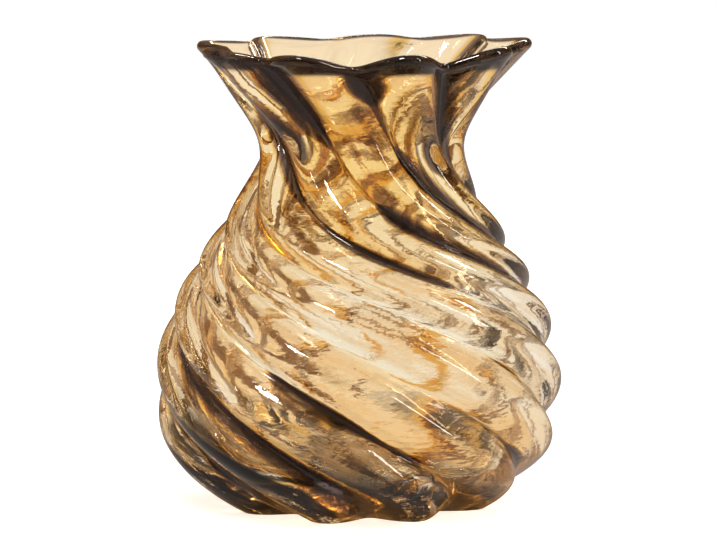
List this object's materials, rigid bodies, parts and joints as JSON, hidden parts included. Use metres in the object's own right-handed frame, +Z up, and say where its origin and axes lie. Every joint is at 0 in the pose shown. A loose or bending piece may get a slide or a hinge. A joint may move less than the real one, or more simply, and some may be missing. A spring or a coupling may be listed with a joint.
{
  "type": "vase",
  "caption": "Round glass vase with swirling ribs, a full belly, a narrow neck and a wide wavy mouth, for cut flowers.",
  "frame": {"origin": "centre of the foot, on the surface that the vase stands on", "axes": "+Z up through the mouth; -Y towards the side seen in the picture; +X to the right of that side"},
  "size_m": [0.1785, 0.1791, 0.2046],
  "materials": {
    "amber_glass": "clear amber glass, fire-polished, with a faint ripple from blowing"
  },
  "bodies": {
    "root": {"foot": "amber_glass", "belly": "amber_glass", "shoulder": "amber_glass", "neck": "amber_glass", "flare": "amber_glass", "rim": "amber_glass"}
  },
  "joints": []
}
